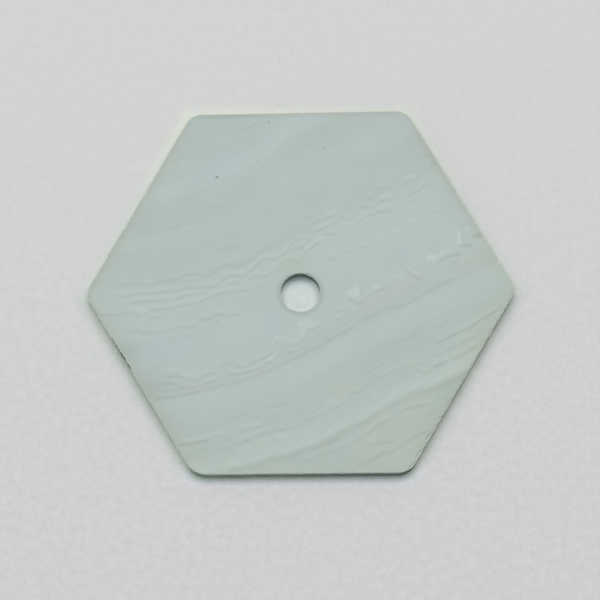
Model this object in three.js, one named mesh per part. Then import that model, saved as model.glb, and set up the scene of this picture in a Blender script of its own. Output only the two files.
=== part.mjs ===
import * as THREE from 'three';

// Blue lace agate plate: a thin hexagonal slice of banded agate, with corners
// ground round, both faces lapped flat and one small hole drilled through the middle.
//
// Millimetres, +Z up. The plate lies flat on its underside. The origin is on the axis
// of the hole, in the plane of the underside, and a corner of the hexagon points
// along +X. The banding of the stone is colour alone, so it has no relief here.

// Driving dimensions, in millimetres.
const ACROSS_FLATS = 20.0;
const THICKNESS = 0.75;
const HOLE_DIAMETER = 2.1;
const CORNER_RADIUS = 1.0;
const EDGE_BREAK = 0.05; // the small slope ground on every rim of both faces

// Steps that the round stretches are drawn with.
const STEPS_PER_CORNER = 8;
const STEPS_ROUND_HOLE = 60;

// Colour and finish of the polished stone.
const AGATE_COLOUR = 0xbcc9c5;
const AGATE_ROUGHNESS = 0.3;

const SIDES = 6;

// The outline: six straight sides joined by arcs. Each arc's centre lies on the line
// from the hole to a corner, as far in as the radius asks.
function plateOutline() {
  const turnPerCorner = (2 * Math.PI) / SIDES;
  const arcCentreDistance = (ACROSS_FLATS / 2 - CORNER_RADIUS) / Math.cos(turnPerCorner / 2);
  const points = [];
  for (let corner = 0; corner < SIDES; corner += 1) {
    const cornerAngle = corner * turnPerCorner;
    const centreX = arcCentreDistance * Math.cos(cornerAngle);
    const centreY = arcCentreDistance * Math.sin(cornerAngle);
    for (let step = 0; step <= STEPS_PER_CORNER; step += 1) {
      const angle = cornerAngle + turnPerCorner * (step / STEPS_PER_CORNER - 0.5);
      const x = centreX + CORNER_RADIUS * Math.cos(angle);
      const y = centreY + CORNER_RADIUS * Math.sin(angle);
      points.push(new THREE.Vector2(x, y));
    }
  }
  return new THREE.Shape(points);
}

// The round hole, as a clockwise ring of points inside the outline.
function holeOutline() {
  const radius = HOLE_DIAMETER / 2;
  const points = [];
  for (let step = 0; step < STEPS_ROUND_HOLE; step += 1) {
    const angle = (-2 * Math.PI * step) / STEPS_ROUND_HOLE;
    points.push(new THREE.Vector2(radius * Math.cos(angle), radius * Math.sin(angle)));
  }
  return new THREE.Path(points);
}

// The plate: the outline with its hole, extruded, with the edge break on all four rims.
// The bevel is offset inwards, so the walls stand at the nominal size.
function plateGeometry() {
  const outline = plateOutline();
  outline.holes.push(holeOutline());
  const geometry = new THREE.ExtrudeGeometry(outline, {
    depth: THICKNESS - 2 * EDGE_BREAK,
    bevelEnabled: true,
    bevelThickness: EDGE_BREAK,
    bevelSize: EDGE_BREAK,
    bevelOffset: -EDGE_BREAK,
    bevelSegments: 1,
    curveSegments: 1,
  });
  geometry.translate(0, 0, EDGE_BREAK);
  return geometry;
}

const agate = new THREE.MeshStandardMaterial({
  color: AGATE_COLOUR,
  roughness: AGATE_ROUGHNESS,
  metalness: 0,
});

const agatePlate = new THREE.Mesh(plateGeometry(), agate);
agatePlate.name = 'agate_plate';

const blueLaceAgate = new THREE.Group();
blueLaceAgate.add(agatePlate);

export default blueLaceAgate;
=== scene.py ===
import math
import random

import bmesh
import bpy
from bpy.props import FloatProperty, FloatVectorProperty, IntProperty, PointerProperty
from mathutils import Matrix, Vector


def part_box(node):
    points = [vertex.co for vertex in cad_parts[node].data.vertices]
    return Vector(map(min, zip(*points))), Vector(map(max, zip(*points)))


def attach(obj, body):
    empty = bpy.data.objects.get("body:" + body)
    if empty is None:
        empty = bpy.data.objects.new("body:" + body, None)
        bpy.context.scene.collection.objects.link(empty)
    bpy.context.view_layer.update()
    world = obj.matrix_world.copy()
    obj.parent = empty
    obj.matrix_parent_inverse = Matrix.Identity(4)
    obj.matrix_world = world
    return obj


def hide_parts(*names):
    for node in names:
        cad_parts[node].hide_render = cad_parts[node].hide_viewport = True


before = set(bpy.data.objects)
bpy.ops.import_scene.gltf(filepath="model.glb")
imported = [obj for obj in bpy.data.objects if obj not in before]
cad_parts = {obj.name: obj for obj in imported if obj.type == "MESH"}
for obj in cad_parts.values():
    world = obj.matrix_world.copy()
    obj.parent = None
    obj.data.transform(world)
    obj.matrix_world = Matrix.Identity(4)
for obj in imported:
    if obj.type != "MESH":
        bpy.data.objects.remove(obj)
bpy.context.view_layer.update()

bl_info = {
    "name": "Blue lace agate plate",
    "version": (1, 0, 0),
    "blender": (4, 5, 0),
    "location": "3D View > Sidebar > Agate",
    "description": "Cuts, drills, chips and bands a hexagonal plate of lace agate, and lights it",
    "category": "Object",
}

# ---------------- the plate's own sizes

MM = 0.001
SOLID = "agate_plate"
PLATE_LOW, PLATE_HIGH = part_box(SOLID)
ACROSS_FLATS = PLATE_HIGH.y - PLATE_LOW.y
THICKNESS = PLATE_HIGH.z - PLATE_LOW.z
SIDES = 6

# Each corner of the cut hexagon: its direction from the hole in degrees from +X, how far it
# strays from a regular one, and its radius, in mm.
CORNERS = (
    (0, (0.0, 0.04), 0.95), (60, (0.005, 0.025), 0.95), (120, (0.06, -0.045), 0.85),
    (180, (0.012, 0.06), 0.95), (240, (-0.067, 0.0), 1.1), (300, (-0.07, -0.03), 1.05),
)
CORNER_STEPS = 8
CORNER_SEARCH = 0.2  # how near a vertex counts as one regular corner, in reaches of a corner
TOUCHING = 0.01 * MM
CUTS_PER_SIDE = 29
RINGS_TO_HOLE = 14
WALL_STEPS = 4
OUTLINE_WANDER = 0.05 * MM
WANDER_LENGTHS = (("X", 2.2 * MM), ("Y", 2.2 * MM * 1.3))
ON_RIM = 0.001 * MM
WELD_RAISED = 0.0001 * MM
WELD_CHIPPED = 0.0004 * MM
SHARP_RIM = math.radians(60)
SMOOTH_UP_TO = math.radians(30)
LEAN_ALLOWED = math.radians(10)  # how far a face may lean and still count as flat or upright
LEVEL_FACE = 0.999  # share of a face's normal that points up or down in the flat faces

# Chips along the rims: which rim, which side of it, between which two directions from the
# hole in degrees, how many, and the smallest and largest bite in mm.
CHIP_SEED = 11
SPOT_IN_STEP = (0.1, 0.9)  # where a chip may lie in its own step along the rim
BALL_SIZE = (1.6, 3.0)  # radius of the ball that cuts a chip, in bites
BALL_TURN = 0.6
BALL_LEAN = 0.3
BALL_LENGTH = (0.8, 1.8)
BALL_HEIGHT = (0.7, 1.1)
CHIP_ROWS = (
    ("outline", "upper", -180, 180, 90, 0.02, 0.06),
    ("outline", "upper", -60, 2, 64, 0.04, 0.11),
    ("outline", "upper", -180, -120, 18, 0.03, 0.07),
    ("outline", "upper", 120, 178, 16, 0.03, 0.07),
    ("outline", "lower", -180, 180, 40, 0.02, 0.07),
    ("hole", "upper", -180, 180, 26, 0.03, 0.07),
    ("hole", "upper", 15, 80, 5, 0.04, 0.07),
    ("hole", "lower", -180, 180, 10, 0.02, 0.05),
    ("outline", "upper", -166.5, -155.5, 17, 0.03, 0.055),
)
# Larger chips in the upper rim: where, and how deep their bite is, in mm.
LARGE_CHIPS = (
    # upper left side, then the lower left, the right and the lower right one
    ((-8.29, 5.49), 0.09), ((-8.9, 4.5), 0.09), ((-9.1, 4.2), 0.07), ((-9.4, 3.75), 0.09),
    ((-9.35, -3.95), 0.06),
    ((9.5, 3.6), 0.07), ((10.55, 1.75), 0.08),
    ((9.65, -3.1), 0.10), ((8.85, -4.7), 0.12), ((7.9, -6.25), 0.12), ((7.4, -7.1), 0.10),
    ((6.95, -7.85), 0.13), ((6.35, -8.9), 0.10),
)
# Open pits left in the polished face: place and radius, in mm.
FACE_PITS = (
    ((-4.4, 6.44), 0.08), ((-1.58, 9.44), 0.07), ((7.68, -5.92), 0.07), ((8.66, -4.76), 0.07),
    ((6.98, -7.68), 0.06), ((1.4, 8.0), 0.05), ((-2.18, 7.26), 0.05),
)
PIT_LIFT = 0.3  # how far most pits' balls stand over the face, in radii

# ---------------- how the bands run

# Five lines that the bands follow across the plate: y at each of FLOW_X, in mm.
FLOW_X = (-11.6, -9.0, -6.0, -3.0, 0.0, 3.0, 6.0, 9.0, 11.6)
FLOW_LINES = (
    (-13.6, -13.0, -12.4, -11.8, -10.8, -9.6, -8.1, -6.8, -5.7),
    (-10.9, -10.6, -10.2, -9.6, -8.7, -7.3, -5.7, -4.4, -3.4),
    (-5.9, -5.8, -5.5, -4.8, -3.6, -2.0, -0.5, 0.9, 2.1),
    (0.4, 0.5, 0.5, 1.5, 3.1, 4.6, 6.1, 7.6, 8.7),
    (5.0, 5.1, 6.0, 7.2, 9.3, 11.0, 12.2, 12.9, 13.5),
)
FLOW_EASE = 0.3  # share of the way between two of FLOW_X that is eased and not straight
BAND_DIP = 0.45  # mm across the bands for each mm down into the stone

# Lightness of the broad bands, in levels, against their place across the flow, in mm.
BROAD_BANDS = (
    (-11.5, -3.8), (-10.3, -3.4), (-9.6, -2.8), (-9.1, -3.4), (-8.75, -2.6), (-8.35, 3.0),
    (-7.9, 1.6), (-7.4, -0.7), (-6.8, -1.3), (-6.0, -1.0), (-5.2, 0.0), (-4.7, 1.6),
    (-4.2, 2.4), (-3.75, 0.6), (-3.4, -1.4), (-2.8, 0.2), (-2.0, 2.0), (-1.0, 1.8),
    (0.0, 1.6), (1.0, 1.6), (2.0, 1.8), (2.6, 1.4), (3.0, 0.2), (3.4, -0.8), (3.9, 0.2),
    (4.6, 0.0), (5.4, -0.4), (6.2, 0.4), (7.0, 0.0), (7.8, -0.9), (8.6, -0.5), (9.3, 1.8),
    (10.4, -0.6), (12.0, -1.2),
)

# Fibres and blotches along the bands: waves per mm across and along the flow, and reach in levels.
FIBRES = ((0.9, 0.12, 2.0), (2.2, 1.2, 3.2), (3.2, 0.35, 3.1), (6.0, 0.9, 3.7))
# How strongly the fibres show, against their place across the flow, in mm.
FIBRE_AMOUNT = (
    (-12.0, 1.2), (-6.0, 1.2), (-4.5, 0.8), (-3.4, 0.9), (-2.5, 0.65), (2.0, 0.65),
    (3.5, 0.7), (5.0, 0.65), (7.5, 0.75), (9.0, 0.9), (12.0, 1.0),
)

# Soft clouds in the stone: place, half length and half width in mm, slope in degrees,
# and how they lift or lower red, green and blue, in levels.
CLOUDS = (
    # the margins
    ((-3.8, 9.8), (1.9, 0.13), 1, (-11.0, -5.0, -9.0)),
    ((-8.0, -4.8), (4.6, 1.5), -60, (-1.9, -1.9, -1.9)),
    # the upper left
    ((-3.7, 6.2), (3.0, 2.2), 20, (0.9, 1.1, 0.3)), ((-3.5, 7.0), (1.2, 0.5), 45, (1.8, 1.5, 2.8)),
    ((-1.3, 8.4), (1.7, 0.5), 35, (1.7, 1.4, 2.8)), ((-0.2, 9.3), (1.5, 0.5), 20, (1.4, 1.0, 1.4)),
    ((-7.0, 5.5), (0.9, 0.45), 5, (2.4, 2.4, 3.0)), ((-4.3, 7.0), (2.8, 1.1), 35, (-0.6, -1.4, 2.0)),
    ((-5.0, 4.6), (3.0, 0.9), 18, (-2.0, -1.7, -1.6)), ((-8.6, 3.7), (1.3, 0.6), 15, (-1.6, -1.5, -1.4)),
    # over the hole and at the top
    ((-2.7, 5.7), (0.9, 0.7), 20, (-1.6, -1.3, -1.2)), ((0.9, 5.2), (0.9, 0.6), 10, (-1.8, -1.4, -1.2)),
    ((3.4, 5.7), (1.0, 0.5), 15, (-1.3, -1.2, -1.1)), ((1.3, 8.7), (2.0, 0.8), 22, (-1.8, -1.5, -1.5)),
    ((3.3, 8.0), (1.7, 0.5), 15, (1.5, 1.4, 1.4)), ((5.8, 7.5), (1.3, 0.9), 30, (-1.6, -1.5, -1.5)),
    ((-0.2, 6.4), (1.6, 0.5), 30, (1.0, 0.9, 1.0)),
    # the middle, from the left to the right
    ((-7.5, 1.7), (2.6, 0.6), 4, (-1.3, -1.0, -0.9)), ((4.6, 3.2), (4.2, 1.7), 25, (1.3, 1.2, 1.2)),
    ((5.2, 2.0), (1.1, 0.5), 30, (0.0, -1.2, 2.4)), ((5.0, 0.0), (2.8, 0.5), 26, (1.4, -1.1, -1.9)),
    ((9.2, 1.6), (1.5, 0.6), 10, (2.4, -0.3, -1.6)),
    # the left corner, the hole's rim and the three low corners
    ((-7.2, -3.0), (1.7, 0.8), 0, (-0.6, -1.6, 2.4)), ((-9.2, -3.15), (0.9, 0.6), 0, (-7.0, -2.2, -3.6)),
    ((-0.4, 1.5), (1.0, 0.5), 15, (-3.0, -2.2, -6.0)), ((-5.0, -8.9), (1.6, 0.9), 10, (-2.8, -3.0, -3.2)),
    ((8.2, -5.9), (1.4, 1.0), 60, (-3.6, -1.2, -2.0)), ((5.4, -8.9), (1.3, 0.8), 25, (0.9, 2.2, 2.2)),
    # the lower half
    ((-2.1, -4.35), (0.8, 0.25), 20, (2.2, 0.2, 0.2)), ((-1.5, -1.5), (0.8, 1.0), 0, (-2.2, -0.8, 2.2)),
    ((-3.0, -1.9), (1.8, 0.8), 10, (1.4, 1.4, 1.2)), ((0.6, -4.2), (2.0, 0.5), 32, (1.4, 1.4, 1.2)),
    ((2.2, -5.4), (0.9, 0.4), 20, (2.2, -0.4, -1.6)), ((-5.6, -5.1), (1.0, 0.4), 5, (1.8, -0.5, -1.6)),
    ((5.2, -3.0), (2.4, 0.8), 26, (-1.4, -1.6, -2.0)),
    # the lower sides and the right corner
    ((-7.6, -4.8), (1.3, 0.8), -10, (-2.4, -2.6, -2.8)), ((5.6, -8.2), (3.0, 2.2), 30, (2.2, 0.2, -0.8)),
    ((-8.9, -5.2), (5.0, 0.9), -60, (-4.0, -5.0, -3.6)), ((9.3, -3.3), (2.4, 1.0), 60, (1.4, -0.6, -1.6)),
    ((9.8, -0.9), (1.3, 0.6), 35, (-1.2, -1.0, -2.6)),
)

# Bright flecks with sharper, ragged edges, given as the clouds are.
FLECKS = (
    # beside and under the hole
    ((2.86, -0.08), (0.40, 0.27), 10, (7.0, 6.4, 6.6)), ((2.98, 0.2), (0.24, 0.15), 80, (5.0, 4.8, 4.8)),
    ((0.35, -1.72), (0.56, 0.2), 0, (4.6, 4.4, 4.4)), ((0.1, -2.1), (0.22, 0.42), 0, (4.2, 4.0, 4.0)),
    # at the right end of the lace
    ((7.0, 1.86), (0.32, 0.22), 20, (5.6, 5.2, 5.2)), ((8.52, 3.0), (0.13, 0.36), 0, (7.6, 7.2, 7.2)),
    ((8.5, 2.66), (0.26, 0.2), 0, (6.4, 6.0, 6.0)), ((9.0, 3.42), (0.16, 0.14), 0, (5.4, 5.0, 5.0)),
    # along the lace
    ((1.7, 2.2), (0.36, 0.2), 15, (3.2, 3.0, 3.0)), ((-8.6, -0.85), (0.45, 0.13), -5, (3.2, 3.2, 3.2)),
    ((1.05, 2.95), (0.5, 0.12), 35, (3.4, 3.2, 3.2)), ((1.5, 3.85), (0.6, 0.14), 25, (3.4, 3.2, 3.2)),
    ((1.6, 4.4), (0.4, 0.14), 15, (3.2, 3.0, 3.0)), ((2.45, 3.82), (0.3, 0.13), 5, (3.6, 3.4, 3.4)),
    ((-5.66, -4.4), (0.35, 0.12), 10, (2.8, 2.8, 2.6)), ((-1.5, -3.55), (0.5, 0.13), 40, (3.0, 3.0, 2.8)),
)

# Looks of a thread: width in mm, darkness and lip in levels. A glint, sheen or flash is light.
HAIR = (0.078, 3.2, 3.0)
FINE = (0.08, 4.4, 3.7)
CLEAR = (0.077, 5.4, 4.5)
BOLD = (0.09, 6.6, 4.2)
DEEP = (0.09, 9.2, 6.0)
EDGE = (0.08, 4.6, 1.6)
SHADE = (0.115, 3.4, 1.8)
SPOT = (0.1, 9.5, 1.4)
GLINT = (0.083, -4.1, 0.0)
SHEEN = (0.1, -2.8, 0.0)
FLASH = (0.105, -6.0, 0.0)

# Threads of the lace: the look of each, then places along it in mm.
THREADS = (
    # first lace, from the left corner up past the hole
    (EDGE, (-7.8, 0.78), (-6.9, 0.78), (-6.1, 1.03), (-5.8, 1.07), (-4.7, 0.92)),
    (SHADE, (-4.65, 1.15), (-4.1, 1.5), (-3.4, 1.53), (-2.8, 1.73), (-1.9, 2.4), (-1.4, 2.5)),
    (GLINT, (-9.8, 0.69), (-9.3, 0.69)),
    (GLINT, (-8.55, 0.68), (-8.0, 0.69)),
    ((0.08, 3.4, 0.0), (-9.95, 0.56), (-7.9, 0.56), (-6.9, 0.6)),
    (CLEAR, (-9.85, -0.08), (-9.4, -0.09), (-8.6, 0.01), (-8.0, 0.02), (-7.5, 0.11), (-6.4, 0.21),
     (-6.1, 0.3), (-5.35, 0.3), (-4.8, 0.35), (-4.5, 0.43), (-4.0, 0.82), (-3.75, 0.95), (-3.2, 0.94),
     (-2.9, 1.0), (-2.65, 1.22), (-2.0, 1.8), (-1.2, 1.89), (-0.9, 2.1), (-0.6, 2.42)),
    (CLEAR, (-9.0, -0.46), (-8.0, -0.38), (-7.0, -0.34), (-6.7, -0.29), (-6.1, -0.11), (-5.0, 0.0)),
    (CLEAR, (-8.15, -0.97), (-7.8, -0.86), (-7.1, -0.84), (-6.4, -0.69), (-5.35, -0.47), (-4.8, -0.2),
     (-3.95, 0.02), (-2.8, 0.14)),
    (CLEAR, (-3.8, 0.54), (-3.6, 0.57), (-3.25, 0.52)),
    (HAIR, (-2.85, 0.5), (-2.7, 0.77), (-2.45, 0.91), (-2.1, 0.93)),
    (SHEEN, (-4.3, 1.25), (-3.3, 1.2), (-2.6, 1.55), (-2.0, 2.1), (-1.0, 2.3), (-0.6, 2.8)),
    (FINE, (-2.5, 0.9), (-1.8, 0.95), (-1.5, 1.15), (-1.1, 1.3), (-1.0, 1.6), (-0.5, 1.8), (-0.1, 1.65)),
    (HAIR, (-2.4, 0.3), (-2.1, 0.37), (-1.9, 0.4)),
    # first lace, right of the hole
    (CLEAR, (-0.55, 2.48), (-0.3, 2.76), (0.0, 2.95), (0.27, 3.0)),
    (CLEAR, (-0.36, 2.49), (-0.1, 2.45), (0.13, 2.5), (0.45, 2.85), (0.66, 2.94)),
    (CLEAR, (0.18, 1.78), (0.22, 2.12), (0.55, 2.4), (0.93, 2.65)),
    (SPOT, (0.84, 2.63), (1.02, 2.71)),
    (HAIR, (0.5, 3.5), (0.67, 3.72), (0.9, 3.86), (1.85, 4.17)),
    (CLEAR, (0.77, 3.25), (1.2, 3.49), (1.63, 3.66)),
    (CLEAR, (1.23, 3.18), (1.52, 3.21), (1.98, 3.17)),
    ((0.075, 6.2, 2.0), (0.08, 4.09), (0.3, 4.13), (0.51, 4.14)),
    (GLINT, (1.53, 4.39), (1.75, 4.44), (2.0, 4.47)),
    (FINE, (2.28, 4.03), (2.5, 4.0), (2.7, 4.08), (3.0, 4.13)),
    (FINE, (2.35, 3.66), (2.5, 3.64), (2.65, 3.58)),
    (FINE, (3.2, 4.68), (3.57, 4.69), (4.1, 4.61)),
    (EDGE, (3.36, 5.19), (3.68, 5.21), (4.0, 5.16)),
    (EDGE, (4.03, 5.53), (4.32, 5.67), (4.86, 5.71)),
    (CLEAR, (4.16, 4.78), (4.3, 4.96), (4.53, 5.05), (4.86, 5.05), (5.0, 4.9)),
    (BOLD, (3.97, 4.2), (4.1, 4.36), (4.64, 4.44), (4.91, 4.56)),
    (HAIR, (3.03, 3.65), (3.24, 3.9), (3.56, 4.15), (3.9, 4.23)),
    (SHEEN, (4.27, 5.23), (4.64, 5.29), (4.96, 5.43)),
    (FINE, (5.52, 5.87), (5.83, 6.03), (6.15, 6.15), (6.52, 6.23)),
    (GLINT, (5.6, 6.22), (5.93, 6.39), (6.26, 6.41)),
    ((0.08, 7.6, 4.4), (5.91, 5.14), (5.98, 5.4), (6.2, 5.49), (6.46, 5.52), (6.61, 5.78), (6.92, 5.93)),
    (HAIR, (5.98, 4.92), (6.41, 4.97)),
    ((0.1, 7.0, 0.0), (6.7, 7.55), (7.0, 7.53)),
    ((0.09, 6.0, 0.0), (7.0, 7.12), (7.35, 7.1)),
    (CLEAR, (6.97, 4.28), (7.15, 4.31), (7.4, 4.4)),
    (FINE, (1.67, 1.8), (2.0, 1.87)),
    (FINE, (2.53, 2.15), (2.69, 2.19), (2.86, 2.19)),
    (FINE, (2.96, 2.36), (3.3, 2.45), (3.63, 2.5)),
    (GLINT, (4.2, 2.95), (4.47, 3.06), (4.73, 3.08)),
    (GLINT, (4.9, 3.31), (5.3, 3.41)),
    (GLINT, (5.6, 3.67), (5.92, 3.84), (6.24, 3.98)),
    # the left band, between the two laces
    (CLEAR, (-10.75, -1.14), (-9.7, -1.09), (-9.4, -1.03), (-9.1, -1.02), (-8.73, -1.15),
     (-8.47, -1.26)),
    (EDGE, (-8.2, -1.38), (-7.8, -1.31), (-7.45, -1.3)),
    (GLINT, (-8.63, -1.4), (-8.1, -1.45)),
    (FINE, (-9.15, -2.05), (-8.8, -2.02), (-8.58, -2.11), (-7.5, -2.1), (-7.1, -2.06), (-6.7, -1.89),
     (-6.1, -1.85), (-5.65, -1.81)),
    (EDGE, (-6.25, -2.4), (-5.87, -2.36)),
    (GLINT, (-6.1, -2.73), (-5.7, -2.74)),
    (EDGE, (-7.04, -2.47), (-6.87, -2.43)),
    (GLINT, (-8.75, -2.55), (-8.28, -2.48)),
    (BOLD, (-5.4, -1.42), (-4.93, -1.42), (-4.72, -1.3), (-4.45, -1.2), (-3.86, -1.27), (-3.3, -1.17)),
    (SPOT, (-4.6, -1.5), (-4.45, -1.59), (-4.3, -1.57)),
    (FINE, (-4.58, -1.89), (-4.4, -1.86), (-4.15, -1.83)),
    (EDGE, (-7.8, -3.95), (-7.27, -3.89)),
    # second lace, through to the right side
    (GLINT, (-7.1, -4.16), (-6.66, -4.11), (-6.34, -4.26), (-6.1, -4.42)),
    (FINE, (-7.2, -4.59), (-6.72, -4.55), (-6.2, -4.68), (-5.92, -4.78), (-5.6, -4.84), (-5.4, -4.74),
     (-5.1, -4.53), (-4.9, -4.45), (-4.58, -4.47)),
    (FINE, (-7.7, -5.02), (-7.0, -4.97), (-6.72, -5.05), (-6.46, -5.17), (-6.2, -5.22), (-5.87, -5.21),
     (-5.1, -5.02), (-4.85, -4.92), (-4.47, -4.86)),
    (FINE, (-7.5, -5.4), (-6.73, -5.34), (-6.4, -5.35)),
    (FINE, (-3.97, -4.46), (-3.35, -4.5), (-3.0, -4.41), (-2.4, -4.28), (-2.06, -4.14)),
    (SHADE, (-4.36, -4.01), (-4.0, -3.93), (-3.6, -3.87)),
    ((0.09, 4.4, 2.6), (-7.8, -5.81), (-6.73, -5.68), (-5.66, -5.46), (-4.58, -5.21), (-3.5, -4.96),
     (-2.45, -4.61), (-1.9, -4.4), (-0.77, -3.85), (0.2, -3.37), (1.27, -2.83), (2.18, -2.29),
     (2.77, -1.96), (3.3, -1.53), (3.74, -1.37), (4.65, -0.99), (5.35, -0.83), (6.05, -0.54),
     (6.8, -0.05), (7.34, 0.22), (8.0, 0.43)),
    ((0.07, 2.2, 2.4), (-7.8, -5.81), (-6.73, -5.68), (-5.66, -5.46), (-4.7, -5.24)),
    (CLEAR, (-3.6, -4.11), (-3.34, -4.08), (-3.0, -4.1), (-2.6, -3.85), (-1.73, -3.45), (-1.52, -3.18),
     (-1.43, -2.85), (-1.2, -2.69)),
    (SHEEN, (-2.92, -4.27), (-2.43, -4.07), (-1.63, -3.66), (-1.34, -3.46)),
    (SHEEN, (-1.46, -2.52), (-1.0, -2.47), (-0.55, -2.64), (-0.2, -2.75)),
    (FINE, (-2.06, -3.97), (-1.8, -3.89), (-1.58, -3.82)),
    (CLEAR, (-0.75, -2.92), (-0.2, -2.92), (0.2, -2.49), (0.4, -2.19), (0.85, -1.99), (1.09, -1.7)),
    (FINE, (-0.74, -3.32), (-0.45, -3.28), (-0.18, -3.19), (0.3, -2.98)),
    (FINE, (1.24, -2.57), (1.56, -2.53)),
    (SHEEN, (2.08, -2.23), (2.45, -1.9), (2.77, -1.8), (3.15, -1.56)),
    # flecked run, right of the hole
    (FINE, (1.78, -1.08), (2.1, -1.07), (2.4, -1.02), (2.73, -0.83)),
    (HAIR, (1.83, -1.61), (2.24, -1.41), (2.56, -1.26), (3.13, -0.96)),
    ((0.12, 7.0, 0.0), (2.52, -0.39), (2.73, -0.49), (2.94, -0.61), (3.37, -0.64)),
    (BOLD, (3.32, -0.58), (3.64, -0.26), (3.96, -0.06), (4.4, 0.12), (4.77, 0.28)),
    (SPOT, (3.24, -0.11), (3.36, -0.06)),
    (FLASH, (3.88, 0.24), (4.2, 0.29)),
    (FLASH, (4.8, 0.78), (5.15, 0.83), (5.52, 0.94)),
    ((0.095, 7.4, 5.0), (5.65, 1.21), (5.77, 1.05), (5.95, 0.89), (6.25, 0.71), (6.5, 0.66)),
    (HAIR, (7.2, 0.49), (7.77, 0.54), (8.36, 0.68)),
    ((0.11, 7.6, 3.4), (7.42, 1.58), (7.7, 1.77), (8.13, 1.95), (8.64, 2.04)),
    ((0.13, -4.0, 0.0), (6.85, 1.77), (7.2, 1.89), (7.78, 2.09)),
    (SPOT, (8.56, 2.47), (8.9, 2.49), (9.23, 2.47)),
    ((0.13, 11.5, 2.0), (9.23, 2.97), (9.48, 3.01), (9.77, 3.04)),
    (SPOT, (8.19, 1.56), (8.43, 1.59)),
    # dense threads at the right side
    (DEEP, (7.26, -2.91), (7.75, -2.67), (8.55, -2.27), (8.82, -2.17), (9.1, -2.04), (9.36, -1.86),
     (9.63, -1.66), (10.06, -1.43), (10.38, -1.21), (10.7, -0.94)),
    (FINE, (6.78, -3.65), (7.15, -3.6), (7.47, -3.52), (7.74, -3.37), (8.55, -2.93), (9.4, -2.55)),
    (DEEP, (8.06, -3.8), (8.55, -3.6), (8.87, -3.4), (9.08, -3.27), (9.46, -3.1)),
    ((0.1, 10.5, 8.0), (7.0, -4.26), (7.36, -4.13), (7.84, -3.94)),
    ((0.085, 6.6, 6.0), (6.15, -4.39), (6.4, -4.47), (6.61, -4.52), (6.85, -4.45)),
    (HAIR, (6.9, -2.03), (7.5, -1.83), (8.2, -1.53)),
    (HAIR, (9.3, -0.9), (9.5, -0.8), (9.7, -0.68)),
    (SHADE, (4.88, -2.86), (5.24, -2.83), (5.65, -2.7), (6.06, -2.48)),
    # third lace, above the dark band
    (HAIR, (2.73, -5.03), (3.18, -4.76), (3.6, -4.47), (4.42, -4.03)),
    (FINE, (4.15, -4.81), (4.58, -4.58), (5.1, -4.36), (5.86, -4.13), (6.45, -4.04)),
    (FINE, (2.59, -5.67), (2.75, -5.62), (3.02, -5.65)),
    (HAIR, (1.65, -6.47), (2.1, -6.23), (2.37, -6.01), (2.67, -5.73), (3.18, -5.43), (3.72, -5.14)),
    (SHEEN, (1.33, -6.11), (1.71, -6.03)),
    (DEEP, (-6.59, -8.35), (-5.84, -8.28), (-5.41, -8.17), (-5.03, -8.11)),
    (FINE, (-5.14, -8.09), (-4.76, -7.98), (-4.07, -7.84)),
    (CLEAR, (-3.42, -7.66), (-3.05, -7.59), (-2.62, -7.5), (-2.24, -7.37)),
    (GLINT, (-2.65, -7.23), (-2.25, -7.18)),
    ((0.085, 4.0, 3.4), (-4.7, -8.66), (-4.02, -8.58), (-3.6, -8.37), (-3.2, -8.31), (-2.84, -8.15),
     (-2.51, -7.95), (-1.76, -7.77), (-1.44, -7.63), (-0.8, -7.57), (0.0, -7.29)),
    ((0.1, 5.6, 6.0), (-3.18, -8.16), (-2.94, -8.14), (-2.75, -8.09)),
    (CLEAR, (0.33, -7.05), (0.6, -6.97), (0.92, -6.81), (1.28, -6.58)),
    (SHEEN, (1.43, -6.08), (1.92, -5.97)),
    (FLASH, (-1.39, -7.96), (-1.07, -7.89), (-0.66, -7.82)),
    (SHADE, (-4.17, -7.06), (-3.68, -6.92), (-2.77, -6.64)),
    (SHADE, (-1.9, -6.35), (-1.32, -6.2), (-0.84, -6.09)),
    (GLINT, (-1.8, -6.51), (-1.34, -6.54)),
    # the dark band and the lower right corner
    ((0.17, 5.6, 2.4), (-4.0, -9.88), (-2.85, -9.64), (-2.2, -9.43), (-1.77, -9.25), (-0.5, -9.04),
     (0.16, -8.69), (0.8, -8.53), (1.88, -8.04), (2.15, -7.77), (2.63, -7.61), (3.17, -7.34), (3.7, -6.9),
     (4.56, -6.38), (5.32, -5.95), (5.85, -5.68), (6.93, -5.46), (7.68, -5.19), (8.54, -4.75),
     (9.0, -4.43)),
    ((0.09, 3.6, 3.2), (-0.33, -9.59), (0.37, -9.3), (0.8, -9.08), (2.1, -8.63), (3.2, -8.08)),
    (CLEAR, (3.48, -7.9), (3.9, -7.57), (4.4, -7.18), (4.83, -7.1)),
    (CLEAR, (5.37, -6.63), (5.74, -6.49), (6.87, -6.27)),
    (FINE, (3.64, -8.49), (3.96, -8.4), (5.03, -8.36)),
    ((0.095, 6.4, 3.6), (2.88, -9.6), (3.58, -9.4), (4.23, -9.03), (4.76, -8.86), (5.3, -8.53),
     (5.73, -8.24), (6.16, -8.02), (6.75, -7.75)),
    (FINE, (2.56, -9.27), (3.24, -9.28)),
    # faint marks of the upper left
    (SHEEN, (-5.9, 9.02), (-5.4, 9.38), (-5.07, 9.64)),
    (SHEEN, (-5.15, 7.82), (-4.8, 7.85), (-4.6, 8.05), (-4.3, 8.26)),
    (SHEEN, (-6.7, 7.2), (-6.2, 7.2), (-5.95, 7.38)),
    (SHADE, (-8.2, 3.42), (-7.74, 3.44)),
    (SHADE, (-7.0, 3.57), (-6.67, 3.68), (-6.34, 3.71)),
    (GLINT, (-6.2, 3.64), (-5.94, 3.67)),
    (SHADE, (-4.94, 4.83), (-4.46, 4.81), (-3.77, 4.67)),
    (SHEEN, (-7.0, 4.49), (-6.34, 4.53)),
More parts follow.
